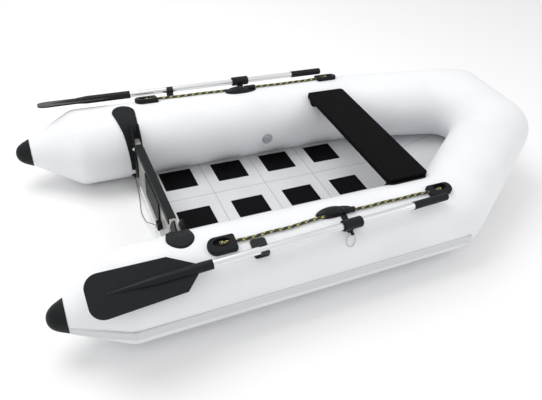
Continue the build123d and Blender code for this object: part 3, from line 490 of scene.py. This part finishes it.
def weld_relief(x, y):
    """Height of the welds over the flat deck: cross seams, lengthwise seams and window frames."""
    height = max([ridge(x - seam, CROSS_SEAM_HALF) for seam in SEAM_XS] + [ridge(y - seam,
                                                            LONG_SEAM_HALF) for seam in SEAM_YS])
    height *= SEAM_HEIGHT
    for row in WINDOW_ROWS:
        for middle, width in WINDOWS:
            gap = max(abs(x - row) - WINDOW_LENGTH / 2, abs(y - middle) - width / 2)
            height = max(height, FRAME_HEIGHT * ridge(gap - FRAME_MIDDLE, FRAME_HALF))
    return height


def soft_sheet(node, slot_name, height, longest):
    """A fine copy of a flat CAD sheet, lifted by height(x, y) on both of its faces."""
    source = nodes[node]
    work = bmesh.new()
    work.from_mesh(source.data)
    work.transform(source.matrix_world)
    for _ in range(16):
        bmesh.ops.triangulate(work, faces=work.faces)
        long_edges = [e for e in work.edges if e.calc_length() > longest]
        if not long_edges:
            break
        bmesh.ops.subdivide_edges(work, edges=long_edges, cuts=1)
    for vertex in work.verts:
        x, y, _ = vertex.co
        hold = 1 - smooth_step(abs(y), *EDGE_HOLD_Y)
        hold *= 1 - smooth_step(x, *BOW_HOLD)
        hold *= smooth_step(x, *STERN_HOLD_X)
        vertex.co.z += height(x, y) * hold
    mesh = bpy.data.meshes.new("sheet_" + node)
    work.to_mesh(mesh)
    work.free()
    piece = bpy.data.objects.new("sheet_" + node, mesh)
    bpy.context.scene.collection.objects.link(piece)
    sharpen(piece, 40)
    finish_piece(piece, slot_name)
    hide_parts(node)
    return piece


def deck_height(x, y):
    return weld_relief(x, y) + 0.0007 * (1 + sin(x * 23) * sin(y * 17 + 1)) / 2


def bottom_height(x, y):
    return -0.0012 * (1 + sin(x * 11 + 0.5) * cos(y * 9)) / 2


soft_sheet("floor_deck", "floor_fabric", deck_height, LONGEST_EDGE)
soft_sheet("hull_bottom", "hull_fabric", bottom_height, 4 * LONGEST_EDGE)


# ---- ribbons that follow a side tube ----------------------------------------------------
def tube_at(x):
    """Radius and centre's Y of the port side tube at x, cone and all."""
    if x >= X_CONE_START:
        return R, TUBE_Y
    share = (X_CONE_START - x) / (X_CONE_START - X_CONE_END)
    return R + (CONE_END_R - R) * share, TUBE_Y + CONE_SHIFT * share


def tube_ribbon(name, profile, x_from, x_to, side, steps=60):
    """A strip along a side tube; profile is a list of (degrees, height) round the tube."""
    rings = []
    stations = [x_from + (x_to - x_from) * k / steps for k in range(steps + 1)]
    stations = sorted(stations + [X_CONE_START - 0.01, X_CONE_START + 0.01, X_CONE_START])
    for x in stations:
        radius, middle = tube_at(x)
        ring = []
        for angle, height in profile:
            reach = radius + height
            arc = 90 + (angle - 90) * R / radius if radius > 0.1 else 90 + (angle - 90) * R / 0.1
            ring.append((x, side * (middle + reach * sin(radians(arc))), ZC + reach * cos(radians(arc))))
        rings.append(ring)
    return rings_to_mesh(name, rings)


STRAKE = [(89.0, 0.0003), (89.2, 0.0045), (90.2, 0.0068), (92.0, 0.0070), (93.6, 0.0058), (94.6, 0.0042),
          (96.6, 0.0040), (98.4, 0.0042), (99.4, 0.0060), (100.6, 0.0069), (102.0, 0.0068), (102.8, 0.0048),
          (103.0, 0.0003)]

for name, side in SIDES:
    low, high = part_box("rub_strake_" + name)
    strake = tube_ribbon("strake_" + name, STRAKE, X_CONE_END + 0.001, high[0], side)
    sharpen(strake, 50)
    finish_piece(strake, "grey_rubber")
    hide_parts("rub_strake_" + name)


# ---- cords ------------------------------------------------------------------------------
def cord_curve(name, points, radius, bevel=True):
    curve = bpy.data.curves.new(name, "CURVE")
    curve.dimensions = "3D"
    spline = curve.splines.new("NURBS")
    spline.points.add(len(points) - 1)
    for place, point in zip(spline.points, points):
        place.co = (*point, 1)
    spline.order_u = 3
    spline.use_endpoint_u = True
    curve.resolution_u = 10
    if bevel:
        curve.bevel_depth = radius
        curve.bevel_resolution = 5
        curve.use_fill_caps = True
    piece = bpy.data.objects.new(name, curve)
    bpy.context.scene.collection.objects.link(piece)
    return piece


def cord_line(points, spacing):
    """Evenly spaced points along the smooth line of a route."""
    guide = cord_curve("guide", points, 0, bevel=False)
    bpy.context.view_layer.update()
    mesh = bpy.data.meshes.new_from_object(guide.evaluated_get(bpy.context.evaluated_depsgraph_get()))
    raw = [v.co.copy() for v in mesh.vertices]
    bpy.data.objects.remove(guide)
    bpy.data.meshes.remove(mesh)
    total = sum((b - a).length for a, b in zip(raw, raw[1:]))
    count = max(8, round(total / spacing))
    step = total / count
    line = [raw[0]]
    walked, wanted = 0.0, step
    for a, b in zip(raw, raw[1:]):
        length = (b - a).length
        while walked + length >= wanted - 1e-9 and len(line) < count:
            line.append(a.lerp(b, (wanted - walked) / length))
            wanted += step
        walked += length
    line.append(raw[-1])
    return line, total


ROPE_ROUTE = [(-568.0, 13.0, 10.0), (-525.0, 13.6, 8.6), (-470.0, 14.4, 6.9), (-395.0, 12.6, 6.8),
              (-315.0, 13.4, 6.9), (-240.0, 11.2, 7.4), (-175.0, 10.2, 8.4), (-95.0, 9.6, 8.5),
              (-30.0, 9.9, 8.3), (35.0, 10.9, 7.0), (110.0, 9.5, 6.8), (190.0, 10.7, 6.9),
              (265.0, 9.9, 7.0), (330.0, 11.2, 8.3), (377.0, 11.3, 10.0)]
ROPE_D = 0.012
ROPE_PITCH = 0.036


def braided_rope(name, line, radius, sides=32):
    """A rope whose skin is a two-way braid of flat strands, as a mesh with its own layout coordinates."""
    rings, coordinates = [], []
    normal = Vector((0, 0, 1))
    walked = 0.0
    for index, point in enumerate(line):
        before, after = line[max(0, index - 1)], line[min(len(line) - 1, index + 1)]
        way = (after - before).normalized()
        normal = (normal - way * normal.dot(way)).normalized()
        other = way.cross(normal)
        if index:
            walked += (point - line[index - 1]).length
        ring = []
        for k in range(sides):
            share = k / sides
            turns = walked / ROPE_PITCH * STRANDS
            left = abs(sin(pi * (STRANDS * share + turns)))
            right = abs(sin(pi * (STRANDS * share - turns)))
            relief = max(left, right) ** 0.7
            reach = radius * (0.86 + 0.14 * relief)
            ring.append(point + reach * (normal * cos(tau * share) + other * sin(tau * share)))
        rings.append(ring)
        coordinates.append(walked / ROPE_PITCH * STRANDS)
    rope = rings_to_mesh(name, rings)
    layer = rope.data.uv_layers.new(name="UVMap")
    count = sides
    for face in rope.data.polygons:
        wraps = len(face.vertices) == 4 and {v % count for v in face.vertices} == {0, count - 1}
        for loop, vertex in zip(face.loop_indices, face.vertices):
            if vertex >= count * len(rings):
                layer.data[loop].uv = (0, 0)
                continue
            u = (vertex % count) / count
            if wraps and u == 0:
                u = 1.0
            layer.data[loop].uv = (u, coordinates[vertex // count])
    return rope


def whipped_knot(name, centre, way, radius):
    """The rope's end turned back on itself: three snug turns round the rope."""
    points = []
    side = way.cross(Vector((0, 0, 1))).normalized()
    up = side.cross(way)
    turns, steps = 2.6, 40
    tube = radius * 0.36
    for step in range(steps + 1):
        share = step / steps
        angle = tau * turns * share
        reach = (radius - tube) * (0.75 + 0.25 * sin(pi * share))
        around = side * cos(angle) + up * sin(angle)
        points.append(centre + way * ((share - 0.5) * radius * 1.1) + reach * around)
    knot = braided_rope(name, points, tube, 12)
    return knot


for name, side in SIDES:
    route = [on_tube(x / 1000, angle, height / 1000, side) for x, angle, height in ROPE_ROUTE]
    line, length = cord_line(route, 0.002)
    rope = braided_rope("rope_" + name, line, ROPE_D / 2)
    finish_piece(rope, "rope_fleck")
    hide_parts("lifeline_" + name)
    for end, outward in ((0, -1), (-1, 1)):
        centre = line[end] + AHEAD * outward * 0.0086
        knot = whipped_knot("knot_%s_%d" % (name, abs(end)), centre, AHEAD, 0.0086)
        finish_piece(knot, "rope_fleck")

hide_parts("lifeline_knots")

LOOP_D = 0.0025
LOOP_HALF_LENGTH, LOOP_HALF_WIDTH = 0.025, 0.019
LOOP_TILT, LOOP_GAP, LOOP_STEPS = radians(31), radians(22), 10
LUG_X, LUG_ANGLE = -0.076, 40.6
LOOP_HIGH, LOOP_LOW = 0.0052, 0.0021


def loop_route(side):
    points = []
    for step in range(LOOP_STEPS + 1):
        turn = LOOP_GAP + (tau - 2 * LOOP_GAP) * step / LOOP_STEPS
        down = LOOP_HALF_LENGTH * (1 - cos(turn))
        aft = LOOP_HALF_WIDTH * sin(turn)
        x = LUG_X - aft * cos(LOOP_TILT) - down * sin(LOOP_TILT)
        around = down * cos(LOOP_TILT) - aft * sin(LOOP_TILT)
        fall = down / (2 * LOOP_HALF_LENGTH)
        points.append(on_tube(x, LUG_ANGLE + degrees(around / R),
                              LOOP_HIGH + (LOOP_LOW - LOOP_HIGH) * fall, side))
    return points


for name, side in SIDES:
    route = loop_route(side)
    line, length = cord_line(route, 0.002)
    loop = cord_curve("loop_" + name, route, LOOP_D / 2)
    finish_piece(loop, "steel")
    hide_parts("keeper_loop_" + name)

LEASH_D = 0.0035
LEASH_ROUTE = [(-695.0, 341.0, 54.0), (-695.0, 334.0, 37.0), (-695.5, 322.0, 21.0),
               (-696.5, 303.0, 8.0), (-698.5, 276.0, 2.2), (-703.0, 242.0, 1.8),
               (-709.0, 205.0, 2.0), (-716.0, 168.0, 1.9), (-720.5, 130.0, 2.2),
               (-718.5, 88.0, 4.8), (-716.0, 51.0, 17.0), (-714.0, 18.0, 40.0),
               (-713.0, -12.0, 61.0), (-711.5, -42.0, 82.0), (-707.0, -72.0, 101.0),
               (-704.0, -103.7, 118.7)]
leash_route = [Vector(p) / 1000 for p in LEASH_ROUTE]
leash_line, leash_length = cord_line(leash_route, 0.002)
leash = cord_curve("leash", leash_route, LEASH_D / 2)
finish_piece(leash, "grey_cord")
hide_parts("drain_leash")


# ---- camera, floor and light ------------------------------------------------------------
camera_data = bpy.data.cameras.new("camera")
camera_data.sensor_width = 36
camera_data.lens = 38.324
camera_data.shift_x = -0.0813
camera_data.shift_y = -0.0037
camera_data.clip_end = 100
camera = bpy.data.objects.new("camera", camera_data)
camera.location = (-1.09005, -1.95145, 1.76029)
camera.rotation_euler = (radians(51.909), radians(-6.253), radians(-26.617))
bpy.context.scene.collection.objects.link(camera)
bpy.context.scene.camera = camera


def stage_floor():
    reach = 40.0
    floor = mesh_object("stage_floor", [(-reach, -reach, 0), (reach, -reach, 0), (reach, reach, 0),
                                        (-reach, reach, 0)],
                        [(0, 1, 2, 3)])
    floor.location.z = -0.0005
    surface = Surface("stage_floor", (0.93, 0.93, 0.93), 0.9, specular=0.1)
    surface.vary(2.0, (0.925, 0.925, 0.925))
    floor.data.materials.append(surface.material)


def area_light(name, location, aim, size, power):
    data = bpy.data.lights.new(name, "AREA")
    data.shape = "DISK"
    data.size = size
    data.energy = power
    light = bpy.data.objects.new(name, data)
    light.location = location
    light.rotation_euler = (Vector(aim) - Vector(location)).to_track_quat("-Z", "Y").to_euler()
    bpy.context.scene.collection.objects.link(light)


stage_floor()
area_light("key", (-1.5, 1.0, 4.0), (0, 0, 0.2), 3.0, 80)
area_light("fill", (3.5, -2.5, 3.0), (0, 0, 0.2), 3.0, 18)
world = bpy.data.worlds.new("world")
world.use_nodes = True
world.node_tree.nodes["Background"].inputs["Color"].default_value = (1, 1, 1, 1)
world.node_tree.nodes["Background"].inputs["Strength"].default_value = 0.80
bpy.context.scene.world = world
bpy.context.scene.view_settings.view_transform = "Standard"
